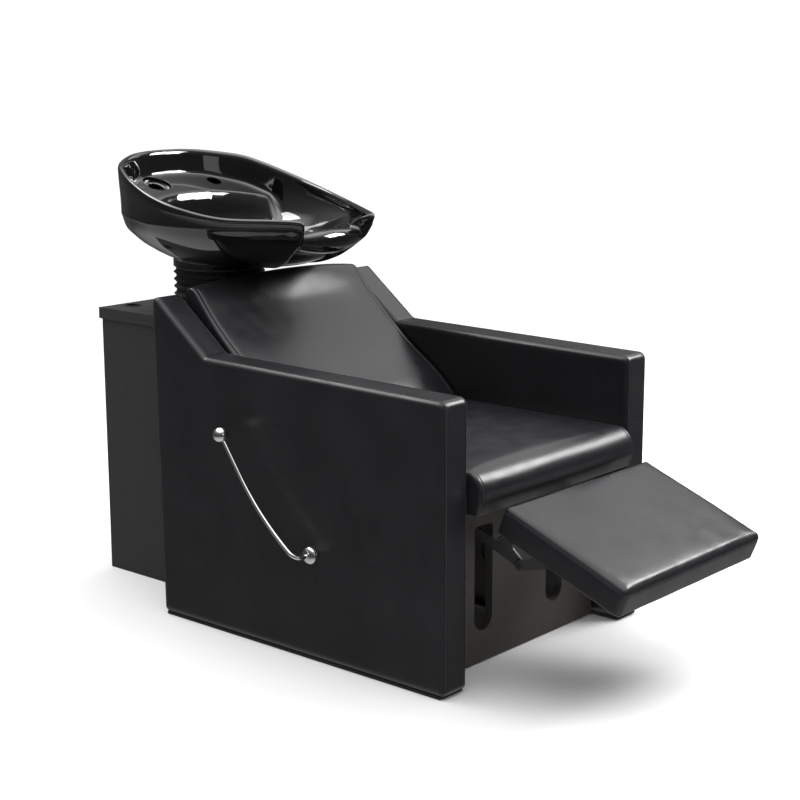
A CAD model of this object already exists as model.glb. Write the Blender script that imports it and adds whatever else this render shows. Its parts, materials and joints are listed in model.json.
import json
import math

import bmesh
import bpy
import numpy as np
from mathutils import Matrix, Vector, geometry, noise

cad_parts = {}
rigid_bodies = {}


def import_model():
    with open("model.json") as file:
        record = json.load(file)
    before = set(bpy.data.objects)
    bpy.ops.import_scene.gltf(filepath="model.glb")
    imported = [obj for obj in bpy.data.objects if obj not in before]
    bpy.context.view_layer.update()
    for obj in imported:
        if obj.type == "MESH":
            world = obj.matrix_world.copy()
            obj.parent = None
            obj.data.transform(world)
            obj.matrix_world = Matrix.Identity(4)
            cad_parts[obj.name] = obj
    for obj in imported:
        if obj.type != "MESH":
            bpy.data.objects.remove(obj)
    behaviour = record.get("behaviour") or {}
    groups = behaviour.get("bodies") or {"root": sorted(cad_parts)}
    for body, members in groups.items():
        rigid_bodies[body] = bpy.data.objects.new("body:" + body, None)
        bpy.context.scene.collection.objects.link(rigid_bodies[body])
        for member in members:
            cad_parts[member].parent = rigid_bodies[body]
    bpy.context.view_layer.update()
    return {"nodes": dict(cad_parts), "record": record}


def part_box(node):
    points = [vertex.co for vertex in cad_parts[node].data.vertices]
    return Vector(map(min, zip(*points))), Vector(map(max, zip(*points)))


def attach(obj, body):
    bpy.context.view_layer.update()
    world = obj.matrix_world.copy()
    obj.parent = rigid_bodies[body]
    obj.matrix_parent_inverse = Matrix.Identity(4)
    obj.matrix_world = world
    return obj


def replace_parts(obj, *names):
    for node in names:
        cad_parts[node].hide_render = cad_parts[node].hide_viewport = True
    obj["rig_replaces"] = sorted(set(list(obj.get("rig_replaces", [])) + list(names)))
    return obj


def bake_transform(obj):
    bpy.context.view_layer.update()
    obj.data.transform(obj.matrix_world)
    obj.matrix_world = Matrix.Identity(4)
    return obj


# Looks of a salon shampoo backwash unit: leatherette chair, laminate cabinet, tilting
# glazed basin and polished lever.  Metres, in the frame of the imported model.
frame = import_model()
NODES = frame["nodes"]

MM = 0.001
NODE_BEVEL = 0.8 * MM
CLOTH_FRAMES = 20
STITCH_PITCH, STITCH_LEN, STITCH_R = 4.6 * MM, 3.2 * MM, 0.32 * MM
SEAM_ROW = 1.7 * MM          # distance from a seam to the mesh rows beside it
SEAM_DEPTH = 1.3 * MM
FACE_STEP = 11 * MM          # spacing of the mesh on broad upholstered faces


# ---- materials ------------------------------------------------------------------------
class Surface:
    """A Principled material whose colour, roughness and bump come from noise."""

    def __init__(self, name, roughness, **constants):
        self.material = bpy.data.materials.new(name)
        self.material.use_nodes = True
        self.nodes = self.material.node_tree.nodes
        self.links = self.material.node_tree.links
        self.shader = self.nodes["Principled BSDF"]
        self.place = self.nodes.new("ShaderNodeTexCoord").outputs["Object"]
        self.shader.inputs["Roughness"].default_value = roughness
        for socket, value in constants.items():
            self.shader.inputs[socket.replace("_", " ")].default_value = value
        self.height = None

    def stretched(self, scale):
        mapping = self.nodes.new("ShaderNodeMapping")
        mapping.inputs["Scale"].default_value = scale
        self.links.new(self.place, mapping.inputs["Vector"])
        return mapping.outputs["Vector"]

    def noise(self, scale, detail=3.0, stretch=None):
        node = self.nodes.new("ShaderNodeTexNoise")
        node.inputs["Scale"].default_value = scale
        node.inputs["Detail"].default_value = detail
        self.links.new(self.stretched(stretch) if stretch else self.place, node.inputs["Vector"])
        return node.outputs["Fac"]

    def cells(self, scale):
        node = self.nodes.new("ShaderNodeTexVoronoi")
        node.feature = "DISTANCE_TO_EDGE"
        node.inputs["Scale"].default_value = scale
        self.links.new(self.place, node.inputs["Vector"])
        return node.outputs["Distance"]

    def ramp(self, source, *stops):
        """stops are (position, value or colour)."""
        node = self.nodes.new("ShaderNodeValToRGB")
        elements = node.color_ramp.elements
        while len(elements) < len(stops):
            elements.new(0.5)
        for element, (position, value) in zip(elements, stops):
            element.position = position
            colour = value if isinstance(value, tuple) else (value,) * 3
            element.color = (*colour, 1)
        self.links.new(source, node.inputs["Fac"])
        return node.outputs["Color"]

    def mix(self, factor, a, b):
        node = self.nodes.new("ShaderNodeMix")
        node.data_type = "RGBA"
        for socket, value in (("Factor", factor), ("A", a), ("B", b)):
            target = [s for s in node.inputs if s.name == socket and s.enabled][0]
            if isinstance(value, bpy.types.NodeSocket):
                self.links.new(value, target)
            else:
                target.default_value = value if isinstance(value, float) else (*value, 1)
        return [s for s in node.outputs if s.enabled][0]

    def colour(self, source):
        self.links.new(source, self.shader.inputs["Base Color"])

    def rough(self, source, low, high):
        self.links.new(self.ramp(source, (0.3, low), (0.7, high)), self.shader.inputs["Roughness"])

    def bump(self, source, strength, distance):
        node = self.nodes.new("ShaderNodeBump")
        node.inputs["Strength"].default_value = strength
        node.inputs["Distance"].default_value = distance
        self.links.new(source, node.inputs["Height"])
        if self.height:
            self.links.new(self.height, node.inputs["Normal"])
        self.height = node.outputs["Normal"]
        self.links.new(self.height, self.shader.inputs["Normal"])

    def worn_edges(self, base, worn, amount):
        """Mixes a rubbed colour in where the surface is sharply convex."""
        edge = self.nodes.new("ShaderNodeNewGeometry").outputs["Pointiness"]
        mask = self.ramp(edge, (0.53, 0.0), (0.62, amount))
        self.colour(self.mix(mask, base, worn))


def leatherette():
    """Black coated fabric: pebbled grain, satin face, faint handling marks."""
    s = Surface("leatherette", 0.31, Specular_IOR_Level=0.5, Sheen_Weight=0.02, Sheen_Roughness=0.4)
    patches = s.ramp(s.noise(9, 4), (0.35, (0.0085, 0.0085, 0.0102)), (0.7, (0.0130, 0.0130, 0.0152)))
    flecks = s.mix(s.ramp(s.noise(620, 2), (0.45, 0.0), (0.75, 0.5)), patches, (0.020, 0.020, 0.023))
    s.worn_edges(flecks, (0.030, 0.030, 0.032), 0.45)
    s.rough(s.noise(26, 5), 0.27, 0.36)
    s.bump(s.cells(640), 0.22, 0.25 * MM)
    s.bump(s.noise(1500, 2), 0.10, 0.12 * MM)
    s.bump(s.noise(30, 2), 0.12, 0.5 * MM)
    return s.material


def thread():
    s = Surface("thread", 0.55, Sheen_Weight=0.3, Sheen_Roughness=0.5)
    s.colour(s.ramp(s.noise(900, 2), (0.3, (0.020, 0.020, 0.022)), (0.7, (0.055, 0.055, 0.058))))
    s.bump(s.noise(2600, 2, (1, 1, 0.3)), 0.4, 0.1 * MM)
    return s.material


def laminate(name, dark, light, low, high):
    """Melamine-faced board: a fine pressed grain that runs upwards."""
    s = Surface(name, low, Specular_IOR_Level=0.45)
    grain = s.noise(420, 4, (1, 1, 0.06))
    base = s.ramp(grain, (0.3, dark), (0.72, light))
    cloud = s.mix(s.ramp(s.noise(6, 3), (0.4, 0.0), (0.75, 0.35)), base, light)
    s.worn_edges(cloud, tuple(3 * c for c in light), 0.5)
    s.rough(s.noise(35, 4), low, high)
    s.bump(grain, 0.16, 0.15 * MM)
    return s.material


def painted_steel():
    """Powder coat: fine orange peel and rubbed corners."""
    s = Surface("black_steel", 0.42, Specular_IOR_Level=0.5)
    base = s.ramp(s.noise(70, 4), (0.35, (0.0075, 0.0075, 0.008)), (0.7, (0.013, 0.013, 0.0135)))
    s.worn_edges(base, (0.09, 0.088, 0.085), 0.6)
    s.rough(s.noise(120, 3), 0.34, 0.5)
    s.bump(s.noise(1100, 2), 0.2, 0.12 * MM)
    return s.material


def metal(name, low_colour, high_colour, low, high, stretch=(1, 1, 1)):
    """Bare or plated metal with fine polishing lines along the stretched axis."""
    s = Surface(name, low, Metallic=1.0)
    lines = s.noise(900, 3, stretch)
    s.colour(s.ramp(s.noise(45, 4), (0.3, low_colour), (0.72, high_colour)))
    s.rough(lines, low, high)
    s.bump(lines, 0.05, 0.05 * MM)
    return s.material


def rubber():
    """Moulded rubber with a dusty bloom."""
    s = Surface("black_rubber", 0.6, Specular_IOR_Level=0.4)
    base = s.ramp(s.noise(55, 5), (0.35, (0.018, 0.0175, 0.017)), (0.75, (0.042, 0.040, 0.038)))
    s.worn_edges(base, (0.075, 0.072, 0.068), 0.5)
    s.rough(s.noise(90, 3), 0.48, 0.68)
    s.bump(s.noise(700, 3), 0.25, 0.2 * MM)
    return s.material


def moulded(name, dark, light, low, high):
    """Injection-moulded plastic with a spark-eroded texture."""
    s = Surface(name, low, Specular_IOR_Level=0.5)
    s.colour(s.ramp(s.noise(60, 4), (0.35, dark), (0.7, light)))
    s.rough(s.noise(150, 3), low, high)
    s.bump(s.noise(1300, 2), 0.2, 0.1 * MM)
    return s.material


def timber():
    """Birch plywood and softwood: long grain with pale and brown streaks."""
    s = Surface("timber", 0.6, Specular_IOR_Level=0.35)
    streaks = s.noise(55, 6, (1, 0.08, 0.5))
    base = s.ramp(streaks, (0.3, (0.36, 0.24, 0.13)), (0.7, (0.62, 0.46, 0.29)))
    pores = s.ramp(s.noise(700, 3, (1, 0.05, 0.6)), (0.5, 0.0), (0.7, 0.5))
    s.colour(s.mix(pores, base, (0.22, 0.14, 0.07)))
    s.rough(streaks, 0.5, 0.7)
    s.bump(streaks, 0.3, 0.3 * MM)
    return s.material


def glaze():
    """Deep black sanitary glaze: mirror gloss over a barely uneven body."""
    s = Surface(
        "black_glaze", 0.05, Specular_IOR_Level=0.6, Coat_Weight=1.0, Coat_Roughness=0.015, Coat_IOR=1.55,
    )
    body = s.ramp(s.noise(14, 4), (0.35, (0.0022, 0.0022, 0.0026)), (0.7, (0.0042, 0.0042, 0.0046)))
    s.colour(s.mix(s.ramp(s.noise(800, 1), (0.68, 0.0), (0.8, 0.3)), body, (0.012, 0.012, 0.012)))
    s.rough(s.noise(30, 3), 0.04, 0.08)
    s.bump(s.noise(16, 2), 0.035, 1.2 * MM)
    return s.material


CABINET_BLACK = ((0.0095, 0.0092, 0.0092), (0.0165, 0.016, 0.016))
FASCIA_BROWN = ((0.0185, 0.0155, 0.014), (0.029, 0.025, 0.0225))
LOOKS = {
    "leatherette": leatherette(),
    "timber": timber(),
    "black_laminate": laminate("black_laminate", *CABINET_BLACK, 0.42, 0.56),
    "black_plastic": moulded("black_plastic", (0.010, 0.010, 0.010), (0.018, 0.018, 0.018), 0.42, 0.58),
    "bush_nylon": moulded("bush_nylon", (0.66, 0.65, 0.60), (0.78, 0.77, 0.72), 0.36, 0.5),
    "black_steel": painted_steel(),
    "zinc_steel": metal("zinc_steel", (0.50, 0.50, 0.49), (0.66, 0.66, 0.64), 0.24, 0.4, (0.1, 1, 1)),
    "lever_chrome": metal("lever_chrome", (0.74, 0.72, 0.70), (0.86, 0.84, 0.82), 0.04, 0.11, (1, 0.3, 0.3)),
    "black_rubber": rubber(),
    "black_glaze": glaze(),
}
LOOKS["cushion_leatherette"] = LOOKS["leatherette"]
FASCIA_LOOK = laminate("fascia_laminate", *FASCIA_BROWN, 0.46, 0.6)
THREAD = thread()


# ---- meshes ---------------------------------------------------------------------------
def new_piece(name, verts, faces, material, angle=None):
    """A mesh piece, shaded smooth, or smooth up to an angle in degrees."""
    mesh = bpy.data.meshes.new(name)
    mesh.from_pydata([tuple(v) for v in verts], [], faces)
    mesh.validate()
    mesh.materials.append(material)
    obj = bpy.data.objects.new(name, mesh)
    bpy.context.scene.collection.objects.link(obj)
    face_out(mesh)
    smooth(mesh, angle)
    return obj


def face_out(mesh, weld=False):
    """Turns every face outwards, after joining points that coincide where weld is set."""
    bm = bmesh.new()
    bm.from_mesh(mesh)
    if weld:
        bmesh.ops.remove_doubles(bm, verts=bm.verts, dist=1e-6)
    bmesh.ops.recalc_face_normals(bm, faces=bm.faces)
    bm.to_mesh(mesh)
    bm.free()


def smooth(mesh, angle=None):
    mesh.shade_smooth()
    if angle is not None:
        mesh.set_sharp_from_angle(angle=math.radians(angle))


def apply_modifiers(obj):
    graph = bpy.context.evaluated_depsgraph_get()
    final = bpy.data.meshes.new_from_object(obj.evaluated_get(graph))
    obj.modifiers.clear()
    old, obj.data = obj.data, final
    bpy.data.meshes.remove(old)


def subdivide(obj):
    modifier = obj.modifiers.new("Subdivision", "SUBSURF")
    modifier.levels = modifier.render_levels = 1
    apply_modifiers(obj)


def points_of(obj):
    co = np.empty(len(obj.data.vertices) * 3)
    obj.data.vertices.foreach_get("co", co)
    return co.reshape(-1, 3)


def move_points(obj, co):
    obj.data.vertices.foreach_set("co", np.asarray(co, float).ravel())
    obj.data.update()


def catmull(points, per_span):
    """Points along a Catmull-Rom curve through the given points."""
    p = np.array(points, float)
    p = np.vstack([2 * p[0] - p[1], p, 2 * p[-1] - p[-2]])
    out = []
    for a, b, c, d in zip(p, p[1:], p[2:], p[3:]):
        for t in np.linspace(0, 1, per_span, endpoint=False):
            out.append(0.5 * (2 * b + (c - a) * t + (2 * a - 5 * b + 4 * c - d) * t**2
                              + (3 * b - a - 3 * c + d) * t**3))
    return np.array([*out, p[-2]])


def corner_arc(before, here, after, radius, step):
    """Points on the arc that rounds the corner at here."""
    into, out = (before - here).normalized(), (after - here).normalized()
    half = into.angle(out) / 2
    reach = radius / math.tan(half)
    centre = here + (into + out).normalized() * radius / math.sin(half)
    start, end = here + into * reach - centre, here + out * reach - centre
    turns = max(2, round((math.pi - 2 * half) * radius / step))
    return [centre + start.lerp(end, k / turns).normalized() * radius for k in range(turns + 1)]


def rounded(corners, radii, step):
    """A closed outline through corners, each rounded, sampled about every step."""
    count = len(corners)
    spots = [Vector(c) for c in corners]
    parts = [corner_arc(spots[i - 1], spots[i], spots[(i + 1) % count], radius, min(step, 4 * MM))
             for i, radius in enumerate(radii)]
    points = []
    for i, arc in enumerate(parts):
        points += arc
        gap = parts[(i + 1) % count][0] - arc[-1]
        spans = max(1, round(gap.length / step))
        points += [arc[-1] + gap * k / spans for k in range(1, spans)]
    return np.array(points)


def inward_normals(outline):
    """The unit normal at each point of a closed outline, towards its inside."""

    def unit(vectors):
        return vectors / np.linalg.norm(vectors, axis=1)[:, None]

    tangent = unit(unit(np.roll(outline, -1, 0) - outline) + unit(outline - np.roll(outline, 1, 0)))
    inward = np.stack([-tangent[:, 1], tangent[:, 0]], 1)
    area = np.sum(outline[:, 0] * np.roll(outline[:, 1], -1) - np.roll(outline[:, 0], -1) * outline[:, 1])
    return inward if area > 0 else -inward


def fill_inside(ring, step):
    """Triangles over a closed ring of 2-D points, with a lattice of points inside."""
    low, high = ring.min(0), ring.max(0)
    loop = [Vector(p) for p in ring]
    inner = []
    for row, v in enumerate(np.arange(low[1] + step / 2, high[1], 0.866 * step)):
        for u in np.arange(low[0] + (0.25 + 0.5 * (row % 2)) * step, high[0], step):
            spot = np.array((u, v))
            if np.min(np.linalg.norm(ring - spot, axis=1)) > 0.62 * step:
                inner.append(Vector(spot))
    border = [list(range(len(loop)))]
    points, _, triangles, *_ = geometry.delaunay_2d_cdt(loop + inner, [], border, 1, 1e-7)
    used = sorted({v for triangle in triangles for v in triangle})
    place_of = {old: new for new, old in enumerate(used)}
    return [tuple(points[v]) for v in used], [[place_of[v] for v in t] for t in triangles]


class Cover:
    """A sewn cover around an outline in (u, v), running from w0 to w1 across it.

    The edges are rounded, the two ends are filled, and rows of the mesh follow each seam.
    """

    def __init__(self, name, outline, w0, w1, radii, seams, place, step=FACE_STEP):
        self.place, self.outline, self.seams = place, outline, seams
        self.inward = inward_normals(outline)
        section = [(w0 + radii[0] * (1 - math.cos(a)), radii[0] * (1 - math.sin(a)))
                   for a in np.linspace(0, math.pi / 2, 6)]
        rows = [w for w in np.linspace(w0 + radii[0], w1 - radii[1], max(3, round((w1 - w0) / step)))[1:-1]]
        rows = [w for w in rows if all(abs(w - s) > 2.4 * SEAM_ROW for s in seams)]
        rows += [s + k * SEAM_ROW for s in seams for k in (-1, 0, 1)]
        section += [(w, 0.0) for w in sorted(rows)]
        section += [(w1 - radii[1] * (1 - math.cos(a)), radii[1] * (1 - math.sin(a)))
                    for a in np.linspace(math.pi / 2, 0, 6)]
        verts, faces = [], []
        count, across = len(outline), len(section)
        for point, inward in zip(outline, self.inward):
            verts += [(*(point + inward * d), w) for w, d in section]
        for i in range(count):
            j = (i + 1) % count
            faces += [(i * across + k, i * across + k + 1, j * across + k + 1, j * across + k)
                      for k in range(across - 1)]
        for k, (w, _) in ((0, section[0]), (across - 1, section[-1])):
            ring = outline + self.inward * section[k][1]
            points, triangles = fill_inside(ring, step)
            index = [i * across + k for i in range(count)]
            for extra in range(count, len(points)):
                index.append(len(verts))
                verts.append((*points[extra], w))
            faces += [tuple(index[v] for v in t) for t in triangles]
        self.local = np.array(verts)
        near = {k for k, (w, _) in enumerate(section) for s in seams if abs(w - s) < 1.5 * SEAM_ROW}
        middle = {k for k, (w, _) in enumerate(section) for s in seams if abs(w - s) < 0.5 * SEAM_ROW}
        self.tight = [i * across + k for i in range(count) for k in near]
        for i in range(count):
            for k in middle:
                self.local[i * across + k][:2] += self.inward[i] * SEAM_DEPTH
        self.obj = new_piece(name, [place(p) for p in self.local], faces, LOOKS["leatherette"])

    def seam_line(self, w):
        """The line of the seam at w, at the outline."""
        return [Vector(self.place((*p, w))) for p in self.outline]


def evened(obj, shift, held, rounds=10):
    """Each point's shift averaged with its neighbours', the held points staying where they are."""
    a, b = np.array([tuple(e.vertices) for e in obj.data.edges]).T
    neighbours = np.bincount(np.concatenate([a, b]), minlength=len(shift))[:, None]
    for _ in range(rounds):
        total = np.zeros_like(shift)
        np.add.at(total, a, shift[b])
        np.add.at(total, b, shift[a])
        shift = 0.4 * shift + 0.6 * total / neighbours
        shift[held] = 0
    return shift


def swell(cover, pressure, cap, pinned, limit=None):
    """Inflates a cover with cloth simulation and keeps each point within cap of its place."""
    obj = cover.obj
    rest = points_of(obj)
    group = obj.vertex_groups.new(name="pinned")
    held = [int(i) for i in np.flatnonzero(pinned(cover.local))] + cover.tight
    group.add(held, 1.0, "REPLACE")
    cloth = obj.modifiers.new("Cloth", "CLOTH")
    settings = cloth.settings
    settings.quality = 6
    settings.mass = 0.3
    settings.tension_stiffness = settings.compression_stiffness = 12
    settings.shear_stiffness = 4
    settings.bending_stiffness = 0.6
    settings.vertex_group_mass = "pinned"
    settings.use_pressure = True
    settings.uniform_pressure_force = pressure
    settings.effector_weights.gravity = 0
    cloth.collision_settings.use_collision = False
    cloth.point_cache.frame_start, cloth.point_cache.frame_end = 1, CLOTH_FRAMES
    scene = bpy.context.scene
    for f in range(1, CLOTH_FRAMES + 1):
        scene.frame_set(f)
    graph = bpy.context.evaluated_depsgraph_get()
    soft = np.array([v.co for v in obj.evaluated_get(graph).data.vertices])
    obj.modifiers.clear()
    scene.frame_set(1)
    shift = evened(obj, soft - rest, held)
    length = np.linalg.norm(shift, axis=1)[:, None] + 1e-12
    moved = rest + shift / length * cap * np.tanh(length / cap)
    move_points(obj, limit(moved) if limit else moved)
    obj.vertex_groups.clear()


def undulate(obj, amplitude, scale, seed):
    """Slow unevenness of the padding, along each point's normal."""
    co, shift = points_of(obj), Vector((seed, 2 * seed, 3 * seed))
    normals = np.array([v.normal for v in obj.data.vertices])
    lift = np.array([noise.noise(Vector(p) * scale + shift) for p in co])
    move_points(obj, co + normals * (amplitude * lift)[:, None])


def stitches(name, line, body):
    """A row of thread stitches sunk into a seam along a closed or open line of points."""
    verts, faces, walked, due = [], [], 0.0, 0.0
    for a, b in zip(line, line[1:]):
        length = (b - a).length
        if length < 1e-7:
            continue
        direction = (b - a) / length
        while due < walked + length:
            middle = a + direction * (due - walked)
            due += STITCH_PITCH
            side = direction.cross(Vector((0.31, 0.52, 0.79))).normalized()
            rise = direction.cross(side)
            base = len(verts)
            for t, r in ((-0.5, 0.3), (-0.38, 0.9), (0, 1.1), (0.38, 0.9), (0.5, 0.3)):
                for k in range(6):
                    turn = k * math.pi / 3
                    ring = (side * math.cos(turn) + rise * math.sin(turn)) * STITCH_R * r
                    verts.append(middle + direction * (t * STITCH_LEN) + ring)
            for t in range(4):
                low = base + 6 * t
                faces += [(low + k, low + (k + 1) % 6, low + 6 + (k + 1) % 6, low + 6 + k) for k in range(6)]
            faces += [tuple(base + k for k in range(5, -1, -1)), tuple(base + 24 + k for k in range(6))]
        walked += length
    obj = new_piece(name, verts, faces, THREAD)
    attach(obj, body)
    return obj


def snapped(line, obj, sink):
    """The line's points dropped onto a piece's surface and sunk a little below it."""
    out = []
    for p in line:
        hit, spot, normal, _ = obj.closest_point_on_mesh(p)
        out.append(spot + normal * sink if hit else p)
    return out


def turned(name, profile, centre, material, steps=96, angle=None):
    """A closed (radius, z) profile turned about a vertical axis through centre (x, y)."""
    verts, faces, count = [], [], len(profile)
    for i in range(steps):
        turn = 2 * math.pi * i / steps
        verts += [(centre[0] + r * math.cos(turn), centre[1] + r * math.sin(turn), z) for r, z in profile]
    for i in range(steps):
        j = (i + 1) % steps
        faces += [(i * count + k, i * count + (k + 1) % count, j * count + (k + 1) % count, j * count + k)
                  for k in range(count)]
    obj = new_piece(name, verts, faces, material, angle)
    face_out(obj.data, weld=True)
    smooth(obj.data, angle)
    return obj


def tube(name, line, radii, material, sides=24):
    """A round tube through a line of points, its ends closed, with a radius at each point."""
    points = [Vector(p) for p in line]
    verts, faces = [], []
    side = None
    for i, p in enumerate(points):
        ahead = (points[min(i + 1, len(points) - 1)] - points[max(i - 1, 0)]).normalized()
        side = (side - ahead * side.dot(ahead)).normalized() if side else ahead.orthogonal().normalized()
        rise = ahead.cross(side)
        verts += [p + (side * math.cos(a) + rise * math.sin(a)) * radii[i]
                  for a in np.linspace(0, 2 * math.pi, sides, endpoint=False)]
    for low in range(0, (len(points) - 1) * sides, sides):
        high = low + sides
        faces += [(low + k, low + (k + 1) % sides, high + (k + 1) % sides, high + k) for k in range(sides)]
    faces += [tuple(range(sides - 1, -1, -1)), tuple(range((len(points) - 1) * sides, len(points) * sides))]
    return new_piece(name, verts, faces, material, 50)


# ---- arms -------------------------------------------------------------------------------
ARM_LOW, ARM_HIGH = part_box("arm_cover_left")
STRIP_TOP = ARM_LOW.z
ARM_CORNERS = [
    (ARM_LOW.y - 2 * MM, STRIP_TOP), (389 * MM, STRIP_TOP), (ARM_HIGH.y + 2 * MM, 702 * MM),
    (242.6 * MM, 579.5 * MM), (ARM_LOW.y - 2 * MM, 573 * MM),
]
ARM_RADII = [11 * MM, 11 * MM, 12 * MM, 16 * MM, 15 * MM]
EDGE_R, ARM_SEAM_IN = 13 * MM, 10 * MM


def arm(side, name):
    """An upholstered arm panel: two faces wrapped round the edges to a sewn gusset."""
    outline = rounded(ARM_CORNERS, ARM_RADII, FACE_STEP)
    inner, outer = ARM_LOW.x + 0.5 * MM, ARM_HIGH.x + 1.5 * MM
    low, high = (inner, outer) if side > 0 else (-outer, -inner)
    cover = Cover(
        f"arm_{name}_upholstery", outline, low, high, (EDGE_R, EDGE_R),
        (low + ARM_SEAM_IN, high - ARM_SEAM_IN), lambda p: (p[2], p[0], p[1]),
    )
    slack = 0.4 * MM
    swell(cover, 2.0, 1.6 * MM, lambda p: p[:, 1] < STRIP_TOP + 4 * MM,
          lambda co: np.clip(co, (low - slack, -1, STRIP_TOP), (high + slack, 1, 1)))
    undulate(cover.obj, 0.35 * MM, 9, 3 + side)
    subdivide(cover.obj)
    smooth(cover.obj.data)
    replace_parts(cover.obj, f"arm_cover_{name}")
    for k, w in enumerate(cover.seams):
        above = [p for p in cover.seam_line(w) if p.z > STRIP_TOP + 9 * MM]
        start = next(i for i, (a, b) in enumerate(zip(above, above[1:])) if (b - a).length > 0.1)
        line = snapped(above[start + 1:] + above[:start + 1], cover.obj, 0.1 * MM)
        stitches(f"arm_{name}_stitching_{k + 1}", line, "chair")
    return cover.obj


ARMS = {name: arm(side, name) for side, name in ((1, "left"), (-1, "right"))}
for piece in ARMS.values():
    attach(piece, "chair")

# ---- seat and back ------------------------------------------------------------------------
SEAT_LOW, SEAT_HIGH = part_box("seat_cushion")
BACK_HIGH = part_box("back_cushion")[1]
SIDE_LIMIT = SEAT_HIGH.x
CUSHION_HALF = SIDE_LIMIT - 2.5 * MM
SIDE_SEAM_IN = 11 * MM
TOP_CROWN = 13 * MM          # how much higher the back's top edge is in the middle


def seat():
    """The seat cushion: flat on top with a waterfall nose over the fascia."""
    nose_y, top, under = SEAT_LOW.y - MM, SEAT_HIGH.z - 2 * MM, SEAT_LOW.z
    corners = [
        (SEAT_HIGH.y, under), (SEAT_HIGH.y, top), (nose_y + 3 * MM, top), (nose_y + MM, 372 * MM),
        (nose_y + 11 * MM, under),
    ]
    outline = rounded(corners, [4 * MM, 6 * MM, 40 * MM, 20 * MM, 5 * MM], FACE_STEP)
    cover = Cover(
        "seat_upholstery", outline, -CUSHION_HALF, CUSHION_HALF, (6 * MM, 6 * MM),
        (-CUSHION_HALF + SIDE_SEAM_IN, CUSHION_HALF - SIDE_SEAM_IN), lambda p: (p[2], p[0], p[1]),
    )
    high = np.array((SIDE_LIMIT, SEAT_HIGH.y, SEAT_HIGH.z + 3 * MM))
    swell(cover, 3.0, 5 * MM, lambda p: (p[:, 1] < under + 8 * MM) | (p[:, 0] > SEAT_HIGH.y - 12 * MM),
          lambda co: np.clip(co, (-SIDE_LIMIT, SEAT_LOW.y - 4 * MM, under), high))
    return cover, 7


def back():
    """The back cushion: a reclined, slightly hollow pad with a rolled top edge."""
    front = catmull([(54, 433), (107, 484), (196, 547), (287, 626), (349, 695)], 8) * MM
    roll = [(356 * MM, 701.5 * MM), (366 * MM, 704 * MM), (377 * MM, 701 * MM)]
    rear = [(385 * MM, 692 * MM), (385 * MM, 676 * MM), (385 * MM, 659 * MM)]
    lower = catmull([(385, 659), (268, 546), (152, 433.5)], 10)[1:] * MM
    sole = [(x * MM, 433 * MM) for x in (136, 120, 104, 88, 71)]
    outline = np.array([*map(tuple, front), *roll, *rear, *map(tuple, lower), *sole])
    cover = Cover(
        "back_upholstery", outline, -CUSHION_HALF, CUSHION_HALF, (6 * MM, 6 * MM),
        (-CUSHION_HALF + SIDE_SEAM_IN, CUSHION_HALF - SIDE_SEAM_IN), lambda p: (p[2], p[0], p[1]),
    )
    away = Vector((226 * MM, 226 * MM))

    def pinned(p):
        behind = (p[:, 0] - 150 * MM) * away.y - (p[:, 1] - 432 * MM) * away.x > -0.006 * away.x
        return (p[:, 1] < 436 * MM) | (p[:, 0] > 381 * MM) | behind

    sole_z, high = 431.8 * MM, (SIDE_LIMIT, BACK_HIGH.y, BACK_HIGH.z + 2 * MM)
    swell(cover, 3.0, 6 * MM, pinned, lambda co: np.clip(co, (-SIDE_LIMIT, 0, sole_z), high))
    co = points_of(cover.obj)
    middle = 1 - (co[:, 0] / CUSHION_HALF) ** 2
    near_top = np.clip((co[:, 2] - 660 * MM) / (40 * MM), 0, 1)
    co[:, 2] += TOP_CROWN * middle * near_top
    move_points(cover.obj, co)
    return cover, 5


for make, node, body in ((seat, "seat_cushion", "chair"), (back, "back_cushion", "chair")):
    cushion, seed = make()
    undulate(cushion.obj, 1.1 * MM, 7, seed)
    subdivide(cushion.obj)
    smooth(cushion.obj.data)
    for k, w in enumerate(cushion.seams):
        line = snapped(cushion.seam_line(w), cushion.obj, 0.1 * MM)
        stitches(f"{cushion.obj.name.split('_')[0]}_stitching_{k + 1}", line, body)
    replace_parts(cushion.obj, node)
    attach(cushion.obj, body)

# ---- legrest --------------------------------------------------------------------------------
LEGREST_BACK = Vector((0, -461 * MM, 371.5 * MM))        # the CAD pad's upper edges
LEGREST_FRONT = Vector((0, -730 * MM, 265.5 * MM))
LEGREST_T, LEGREST_W = 57 * MM, 470 * MM
LEGREST_SEAM = 11 * MM       # seam below the top face


def legrest():
    """The legrest pad: a top panel sewn to a boxing strip all round."""
    forward = (LEGREST_FRONT - LEGREST_BACK).normalized()
    up = forward.cross(Vector((1, 0, 0)))
    up = up if up.z > 0 else -up
    length, half = (LEGREST_FRONT - LEGREST_BACK).length, LEGREST_W / 2
    corner = LEGREST_BACK - up * LEGREST_T
    side, back, front = half + 2.5 * MM, -2.5 * MM, length + 3 * MM
    corners = [(-side, back), (side, back), (side, front), (-side, front)]
    cover = Cover(
        "legrest_upholstery", rounded(corners, [11 * MM] * 4, FACE_STEP), 0.0, LEGREST_T + MM,
        (4 * MM, 10 * MM), (LEGREST_T - LEGREST_SEAM - MM,),
        lambda p: tuple(corner + Vector((p[0], 0, 0)) + forward * p[1] + up * p[2]), step=9 * MM,
    )
    swell(cover, 3.0, 2.5 * MM, lambda p: p[:, 2] < 5 * MM)
    undulate(cover.obj, 0.8 * MM, 11, 9)
    subdivide(cover.obj)
    smooth(cover.obj.data)
    line = cover.seam_line(cover.seams[0])
    stitches("legrest_stitching", snapped(line + line[:1], cover.obj, 0.1 * MM), "legrest")
    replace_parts(cover.obj, "legrest_cushion")
    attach(cover.obj, "legrest")


legrest()

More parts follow.
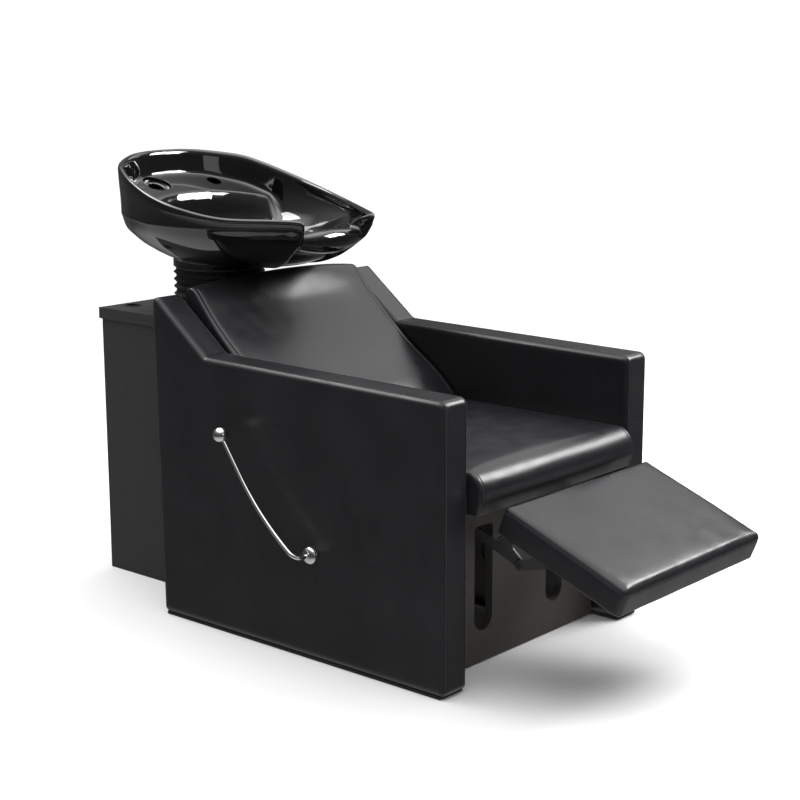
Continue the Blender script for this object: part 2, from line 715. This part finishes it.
# ---- basin ------------------------------------------------------------------------------------
COLUMN_Y = 546 * MM
COLLAR_R = 104 * MM
COLLAR_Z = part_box("basin_bowl")[0].z
RIM_CENTRE_Y = 486 * MM
DECK_Y, DECK_Z, DECK_SLOPE = 705 * MM, 905 * MM, 0.435
# Front edge of the tap deck in plan, from the middle to where it runs out on the side wall.
DECK_EDGE = [
    (0, 627), (50, 625.5), (97, 618), (131, 609), (169, 595), (197, 577), (221, 551), (238, 522),
]
TAP_HOLE, HOSE_HOLE = (-66 * MM, 676 * MM), (104 * MM, 668 * MM)
# Half of the rim, back centre to the middle of the neck rest: x, y, height and how far the
# section there is the neck rest's (1) rather than the wall's (0).
RIM = [
    (0, 734, 964, 0), (61, 729, 963, 0), (120, 711, 958, 0), (188, 664, 946, 0), (218, 616, 929, 0),
    (236, 565, 911, 0), (248, 493, 888, 0), (241, 406, 866, 0), (211, 314, 850, 0), (152, 227, 847, 0),
    (130, 195, 846, 0), (121, 181, 845, 0.03), (114, 171.5, 844, 0.1), (109, 169.5, 842, 0.25),
    (104, 173, 836, 0.5), (98.5, 184, 824, 0.85), (92.5, 192.5, 815, 1), (80, 190, 813.5, 1),
    (60, 184.5, 814, 1), (30, 178.5, 816, 1), (0, 176.5, 817, 1),
]
# Underside of the bowl: share of the way out to the rim, and height.
LOWER_WALL = [
    (0.0, 730), (0.42, 730), (0.50, 732), (0.60, 741), (0.69, 753), (0.80, 771), (0.89, 791), (0.955, 810),
]
FRONT_SAG = 15 * MM          # how much lower the underside is towards the neck rest


def wall_height(s, forward):
    """Underside of the bowl at scale s of the rim's outline, forward 1 on the neck-rest side."""
    sag = math.sin(math.pi * min(1.0, max(0.0, (s - 0.45) / 0.6))) * max(0.0, forward) * FRONT_SAG
    return float(np.interp(s, *zip(*LOWER_WALL))) * MM - sag


def deck_edge_share(x, y):
    """How far along the ray to a rim point the tap deck's front edge lies, 1 if it isn't met."""
    edge = np.array(DECK_EDGE) * MM
    shares = np.linspace(0.35, 1.0, 131)
    ahead = RIM_CENTRE_Y + shares * (y - RIM_CENTRE_Y) - np.interp(shares * abs(x), *edge.T, right=1.0)
    return float(np.interp(0.0, ahead, shares)) if ahead[0] < 0 < ahead[-1] else 1.0


def between(first, second, share):
    """The section that lies share of the way from the first section to the second."""
    return [tuple((1 - share) * u + share * v for u, v in zip(a, b)) for a, b in zip(first, second)]


def basin_section(x, y, top, front):
    """Points of the basin's skin from the collar, over the rim and down to the drain, on one ray."""
    centre, rim = np.array((0, RIM_CENTRE_Y)), np.array((x, y))
    ray = rim - centre
    reach = np.linalg.norm(ray)
    unit = ray / reach
    to_column = np.array((0, COLUMN_Y)) - centre
    along = unit @ to_column
    collar = (along + math.sqrt(along**2 - to_column @ to_column + COLLAR_R**2)) / reach

    def at(s, z):
        return (*(centre + ray * s), z)

    step_z = float(np.interp(y, (0.17, 0.30, 0.50, 0.731), (0.826, 0.824, 0.826, 0.845)))
    band = top - step_z
    wall = [
        (0.981, step_z - 3 * MM), (0.987, step_z), (0.984, step_z + min(3 * MM, 0.2 * band)),
        (0.988, step_z + 0.35 * band), (0.995, step_z + 0.58 * band),
        (1.0, top - min(17 * MM, 0.33 * band)), (1.001, top - min(8 * MM, 0.2 * band)),
        (0.994, top - min(2.2 * MM, 0.06 * band)), (0.979, top), (0.961, top - 2 * MM),
        (0.949, top - min(8 * MM, 0.3 * band)), (0.943, top - min(18 * MM, 0.55 * band)),
    ]
    lip_z = (766 + 13 * min(1.0, abs(x) / (94 * MM)) ** 2) * MM
    rise = top - lip_z
    rest = [
        (0.945, lip_z), (0.968, lip_z + 0.04 * rise), (0.985, lip_z + 0.13 * rise),
        (0.996, lip_z + 0.28 * rise), (1.0, lip_z + 0.46 * rise), (0.998, lip_z + 0.63 * rise),
        (0.991, lip_z + 0.78 * rise), (0.978, lip_z + 0.90 * rise), (0.960, top - 1.6 * MM),
        (0.938, top), (0.914, top - 0.6 * MM), (0.890, top - 4.5 * MM),
    ]
    ring = between(wall, rest, front)
    forward = -unit[1]
    under = [
        (s * (1 - 0.012 * front), (1 - front) * wall_height(s, forward) + front * z)
        for s, z in ((0.80, 0.6 * 759 * MM + 0.4 * lip_z), (0.88, lip_z - MM), (0.945, lip_z - MM))
    ]

    low = [(*(centre + ray * collar), COLLAR_Z + k) for k in (0.0, 3 * MM, 9 * MM)]
    low.append((*(centre + ray * collar), wall_height(collar, forward) - 5 * MM))
    low.append(at(collar + 0.012, wall_height(collar + 0.012, forward) - 1.5 * MM))
    low += [at(s, wall_height(s, forward)) for s in np.linspace(collar + 0.035, 0.73, 6)]

    last_s, last_z = ring[-1]
    shoulder = (0.86 * (1 - front) + 0.80 * front, 812 * MM * (1 - front) + 797 * MM * front)
    bend = (last_s - 0.35 * (last_s - shoulder[0]), 0.5 * (last_z + shoulder[1]))
    slope = catmull([
        (last_s, last_z), bend, shoulder, (0.775 - 0.03 * front, (790 - 5 * front) * MM),
        (0.70, 777 * MM), (0.62, 765 * MM),
    ], 8)
    length = np.concatenate([[0], np.cumsum(np.linalg.norm(np.diff(slope, axis=0), axis=1))])
    inner = [tuple(np.interp(t, length, slope[:, k]) for k in (0, 1))
             for t in np.linspace(0, length[-1], 14)[1:]]
    lip = deck_edge_share(x, y)
    share = min(1.0, max(0.0, (0.95 - lip) / 0.11))
    if share > 0:
        share = share * share * (3 - 2 * share)

        def deck(s):
            return DECK_Z + DECK_SLOPE * (RIM_CENTRE_Y + s * (y - RIM_CENTRE_Y) - DECK_Y)

        foot, low_z = 0.925, 766 * MM
        drop = deck(lip) - 24 * MM - low_z
        shelf = [
            (0.935, 0.5 * (last_z + deck(foot))), (0.930, deck(foot) + 9 * MM),
            (0.924, deck(foot) + 2.5 * MM),
            *((s, deck(s)) for s in (0.910, 0.68 * foot + 0.32 * lip, 0.32 * foot + 0.68 * lip, lip + 0.018)),
            (lip, deck(lip) - 1.5 * MM), (lip * 0.978, deck(lip) - 10 * MM), (lip * 0.955, low_z + drop),
            (lip * 0.915, low_z + 0.57 * drop), (lip * 0.85, low_z + 0.24 * drop), (lip * 0.75, low_z),
        ]
        inner = between(inner, shelf, share)
    floor = [(*(np.array((0, 510 * MM)) + ray * 0.36), 753 * MM)]
    outward = rim - np.array((0, COLUMN_Y))
    outward /= np.linalg.norm(outward)
    for r, z in ((46, 750.8), (37, 750.1), (33, 750), (32, 749.3), (32, 746)):
        floor.append((*(np.array((0, COLUMN_Y)) + outward * r * MM), z * MM))
    return low + [at(*p) for p in under] + [at(*p) for p in ring] + [at(*p) for p in inner] + floor


def basin():
    """The glazed bowl: one closed skin with its deck, tap seat and hose hole."""
    half = catmull([(x * MM, y * MM, z * MM, f) for x, y, z, f in RIM], 7)
    loop = list(half) + [np.array((-p[0], *p[1:])) for p in half[-2:0:-1]]
    rows = [catmull(basin_section(p[0], p[1], p[2], float(np.clip(p[3], 0, 1))), 4) for p in loop]
    across, count = len(rows[0]), len(rows)
    verts = [tuple(v) for row in rows for v in row]
    faces = []
    for i in range(count):
        here, there = i * across, (i + 1) % count * across
        faces += [(here + k, here + k + 1, there + k + 1, there + k) for k in range(across - 1)]
    spigot = 26 * MM         # radius of the drain's bore, right through the skin
    for z, k in ((746 * MM, across - 1), (COLLAR_Z, 0)):
        base = len(verts)
        for i in range(count):
            outward = Vector(verts[i * across + k][:2]) - Vector((0, COLUMN_Y))
            verts.append((*(Vector((0, COLUMN_Y)) + outward.normalized() * spigot), z))
        faces += [(i * across + k, base + i, base + (i + 1) % count, (i + 1) % count * across + k)
                  for i in range(count)]
    top, bottom = len(verts) - 2 * count, len(verts) - count
    faces += [(top + i, bottom + i, bottom + (i + 1) % count, top + (i + 1) % count) for i in range(count)]
    bowl = new_piece("basin_ceramic", verts, faces, LOOKS["black_glaze"])
    cut_deck(bowl)
    smooth(bowl.data, 38)
    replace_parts(bowl, "basin_bowl")
    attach(bowl, "basin")


def cut_deck(bowl):
    """Sinks the tap's seat and the two holes in the deck, with softened glazed edges."""
    normal = Vector((0, -DECK_SLOPE, 1)).normalized()
    turn = normal.to_track_quat("Z", "Y").to_matrix().to_4x4()
    over = 12 * MM           # how far each cutter stands out of the deck
    seat, tap_bore, hose_bore = (34 * MM, 8 * MM), (17.5 * MM, 34 * MM), (18 * MM, 34 * MM)
    for (x, y), (radius, depth) in ((TAP_HOLE, seat), (TAP_HOLE, tap_bore), (HOSE_HOLE, hose_bore)):
        spot = Vector((x, y, DECK_Z + DECK_SLOPE * (y - DECK_Y)))
        place = Matrix.Translation(spot + normal * (over - depth) / 2) @ turn
        bm = bmesh.new()
        bmesh.ops.create_cone(
            bm, cap_ends=True, segments=72, radius1=radius, radius2=radius, depth=depth + over, matrix=place,
        )
        tool = bpy.data.objects.new("cutter", bpy.data.meshes.new("cutter"))
        bm.to_mesh(tool.data)
        bm.free()
        bpy.context.scene.collection.objects.link(tool)
        cut = bowl.modifiers.new("Cut", "BOOLEAN")
        cut.operation, cut.solver, cut.object = "DIFFERENCE", "EXACT", tool
        apply_modifiers(bowl)
        bpy.data.objects.remove(tool)
        soften_rim(bowl, spot, normal, radius)
    bowl.data.materials.clear()
    bowl.data.materials.append(LOOKS["black_glaze"])


def soften_rim(bowl, spot, normal, radius):
    """Bevels the upper edge of a round hole about spot."""
    bm = bmesh.new()
    bm.from_mesh(bowl.data)

    def on_rim(v):
        away = v.co - spot
        high = away.dot(normal)
        return abs((away - normal * high).length - radius) < 0.15 * MM and high > -8.6 * MM

    edges = [e for e in bm.edges if all(on_rim(v) for v in e.verts) and len(e.link_faces) == 2
             and e.calc_face_angle(0) > 1.0]
    bmesh.ops.bevel(
        bm, geom=edges, offset=1.6 * MM, segments=3, profile=0.5, affect="EDGES", clamp_overlap=True,
    )
    bm.to_mesh(bowl.data)
    bm.free()


basin()


def bellows():
    """The corrugated rubber boot between the cabinet lid and the basin's collar."""
    low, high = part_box("bellows")
    radius, depth, folds, wall = COLLAR_R, 9 * MM, 5, 3 * MM
    cuff = 7 * MM
    outer = [(radius + 2 * MM, low.z), (radius + 3 * MM, low.z + MM), (radius + 3 * MM, low.z + cuff - MM),
             (radius + 1.5 * MM, low.z + cuff)]
    span = high.z - 6 * MM - low.z - cuff
    for fold in np.linspace(0, folds, folds * 14 + 1):
        dip = depth / 2 * (1 + math.cos(2 * math.pi * fold) ** 3)
        outer.append((radius - dip, low.z + cuff + span * fold / folds))
    outer += [(radius - 5 * MM, high.z - 5 * MM), (radius - 5 * MM, high.z)]
    inner = [(r - wall, z) for r, z in reversed(outer)]
    boot = turned("bellows_boot", outer + inner, (0, COLUMN_Y), LOOKS["black_rubber"], 128, 40)
    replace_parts(boot, "bellows")
    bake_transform(boot)


def waste_sleeve():
    """The flexible waste sleeve inside the column, with a clip groove at each end."""
    low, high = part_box("waste_hose")
    radius, wall = high.x, 2.5 * MM
    outer = [(radius, low.z), (radius, low.z + 6 * MM), (radius - 1.2 * MM, low.z + 8 * MM),
             (radius - 1.2 * MM, low.z + 13 * MM), (radius, low.z + 15 * MM)]
    outer += [(r, low.z + high.z - z) for r, z in reversed(outer)]
    inner = [(radius - wall, z) for _, z in reversed(outer)]
    sleeve = turned("waste_sleeve", outer + inner, (0, COLUMN_Y), LOOKS["black_rubber"], 48, 40)
    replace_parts(sleeve, "waste_hose")
    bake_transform(sleeve)


bellows()
waste_sleeve()

# ---- lever ----------------------------------------------------------------------------------------
LEVER_X = -381 * MM
HUB = Vector((-337.5 * MM, -57.5 * MM, 221 * MM))       # middle of the hub's face on the arm
LEVER_MID = Vector((LEVER_X, 41.6 * MM, 292 * MM))
KNOB = Vector((LEVER_X, 146.6 * MM, 441.6 * MM))
HUB_R, HUB_T, KNOB_R, ROD_R = 18 * MM, 13 * MM, 16 * MM, 4.5 * MM


def turned_x(name, centre, profile, node):
    """A chromed piece of the lever turned about the X axis from (radius, x offset) points."""
    verts, faces, steps = [], [], 64
    for i in range(steps):
        turn = 2 * math.pi * i / steps
        verts += [centre + Vector((h, r * math.cos(turn), r * math.sin(turn))) for r, h in profile]
    count = len(profile)
    for i in range(steps):
        here, there = i * count, (i + 1) % steps * count
        faces += [(here + k, here + k + 1, there + k + 1, there + k) for k in range(count - 1)]
    obj = new_piece(name, verts, faces, LOOKS["lever_chrome"])
    face_out(obj.data, weld=True)
    smooth(obj.data, 40)
    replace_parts(obj, node)
    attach(obj, "lever")


def lever():
    """The bent lever rod with its domed hub on the arm and the ball at its top."""
    shaft_end = HUB + Vector((-6 * MM, 0, 0))
    corner = Vector((LEVER_X, HUB.y, HUB.z))
    line = [shaft_end, shaft_end + Vector((-9 * MM, 0, 0))]
    line += corner_arc(shaft_end, corner, LEVER_MID, 20 * MM, 2.5 * MM)
    line += corner_arc(corner, LEVER_MID, KNOB, 560 * MM, 9 * MM) + [KNOB]
    radii = [ROD_R - 0.9 * MM * min(1.0, max(0.0, (p.z - HUB.z) / (KNOB.z - HUB.z))) for p in line]
    rod = tube("lever_bar", line, radii, LOOKS["lever_chrome"])
    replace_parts(rod, "lever_rod")
    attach(rod, "lever")
    edge = 3.5 * MM
    dome = [(HUB_R * math.cos(a), -edge - (HUB_T - edge) * math.sin(a))
            for a in np.linspace(0, math.pi / 2, 24)]
    turned_x("lever_hub_dome", HUB, [(0, 0), (HUB_R - MM, 0), (HUB_R, -MM), *dome], "lever_hub")
    ball = [(KNOB_R * math.sin(a), KNOB_R * math.cos(a)) for a in np.linspace(0, math.pi, 40)]
    turned_x("lever_knob_ball", KNOB, ball, "lever_knob")


lever()

# ---- carried-over parts -----------------------------------------------------------------------------
REPLACED = {n for o in bpy.data.objects for n in o.get("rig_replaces", [])}
SLOT_OF = {part["node"]: part["material_slot"] for part in frame["record"]["subparts"]}
for name, obj in NODES.items():
    if name in REPLACED:
        continue
    obj.data.materials.clear()
    obj.data.materials.append(FASCIA_LOOK if name == "front_fascia" else LOOKS[SLOT_OF[name]])
    smooth(obj.data, 35)
    edge = obj.modifiers.new("Edges", "BEVEL")
    edge.width, edge.segments, edge.limit_method, edge.angle_limit = NODE_BEVEL, 2, "ANGLE", math.radians(50)
    edge.harden_normals = False


# ---- camera, light and floor --------------------------------------------------------------------------
def place_camera():
    azimuth, elevation, roll = math.radians(-49.06), math.radians(12.04), math.radians(-0.15)
    level = Vector((math.sin(azimuth), -math.cos(azimuth), 0))
    back_axis = level * math.cos(elevation) + Vector((0, 0, math.sin(elevation)))
    right = Vector((math.cos(azimuth), math.sin(azimuth), 0))
    up = back_axis.cross(right)
    turned_right = math.cos(roll) * right + math.sin(roll) * up
    turned_up = -math.sin(roll) * right + math.cos(roll) * up
    camera = bpy.data.objects.new("camera", bpy.data.cameras.new("camera"))
    bpy.context.scene.collection.objects.link(camera)
    camera.data.lens, camera.data.sensor_width = 77.0, 36.0
    rotation = Matrix((turned_right, turned_up, back_axis)).transposed().to_4x4()
    camera.matrix_world = Matrix.Translation((-2.6632, -2.3086, 1.2223)) @ rotation
    bpy.context.scene.camera = camera


def softbox(name, where, target, size, power):
    light = bpy.data.lights.new(name, "AREA")
    light.shape, light.size, light.size_y, light.energy = "RECTANGLE", size[0], size[1], power
    obj = bpy.data.objects.new(name, light)
    obj.location = where
    obj.rotation_euler = (Vector(target) - Vector(where)).to_track_quat("-Z", "Y").to_euler()
    bpy.context.scene.collection.objects.link(obj)


def studio():
    """A room lit from above, dark at eye level, with softboxes at the sitter's left and behind."""
    world = bpy.data.worlds.new("studio")
    bpy.context.scene.world = world
    world.use_nodes = True
    nodes, links = world.node_tree.nodes, world.node_tree.links
    nodes.clear()
    place = nodes.new("ShaderNodeTexCoord")
    split = nodes.new("ShaderNodeSeparateXYZ")
    links.new(place.outputs["Generated"], split.inputs[0])
    climb = nodes.new("ShaderNodeMath")
    climb.operation = "MULTIPLY_ADD"
    climb.inputs[1].default_value = climb.inputs[2].default_value = 0.5
    links.new(split.outputs["Z"], climb.inputs[0])
    ramp = nodes.new("ShaderNodeValToRGB")
    stops = (
        (0.0, 0.60), (0.22, 0.42), (0.33, 0.10), (0.50, 0.05), (0.60, 0.08), (0.69, 0.17), (0.80, 0.26),
        (0.88, 1.5), (1.0, 3.0),
    )
    while len(ramp.color_ramp.elements) < len(stops):
        ramp.color_ramp.elements.new(0.5)
    for element, (position, value) in zip(ramp.color_ramp.elements, stops):
        element.position, element.color = position, (value, value, value * 1.01, 1)
    links.new(climb.outputs[0], ramp.inputs[0])
    room, backdrop = nodes.new("ShaderNodeBackground"), nodes.new("ShaderNodeBackground")
    links.new(ramp.outputs[0], room.inputs["Color"])
    backdrop.inputs["Color"].default_value = (1, 1, 1, 1)
    backdrop.inputs["Strength"].default_value = 1.05
    seen, either, out = (nodes.new(f"ShaderNode{kind}") for kind in ("LightPath", "MixShader", "OutputWorld"))
    links.new(seen.outputs["Is Camera Ray"], either.inputs[0])
    links.new(room.outputs[0], either.inputs[1])
    links.new(backdrop.outputs[0], either.inputs[2])
    links.new(either.outputs[0], out.inputs["Surface"])
    softbox("key", (1.85, -1.3, 2.05), (0, -0.3, 0.5), (1.3, 1.0), 62)
    softbox("side", (2.25, 0.45, 2.05), (0, -0.4, 0.4), (1.5, 1.2), 5)
    softbox("rear_strip", (-0.9, 1.7, 2.75), (-0.3, 0, 0.6), (1.6, 0.6), 20)
    softbox("front_fill", (-0.6, -3.2, 1.1), (0, -0.3, 0.3), (1.2, 1.2), 3)
    corners = [(x, y, -0.4 * MM) for x, y in ((-8, -8), (8, -8), (8, 8), (-8, 8))]
    floor = new_piece("floor", corners, [(0, 1, 2, 3)], floor_look())
    floor.visible_glossy = False
    bpy.context.scene.view_settings.view_transform = "Standard"


def floor_look():
    s = Surface("studio_floor", 0.8, Specular_IOR_Level=0.1)
    s.colour(s.ramp(s.noise(1.5, 3), (0.3, (0.90, 0.90, 0.90)), (0.7, (0.93, 0.93, 0.93))))
    return s.material


place_camera()
studio()
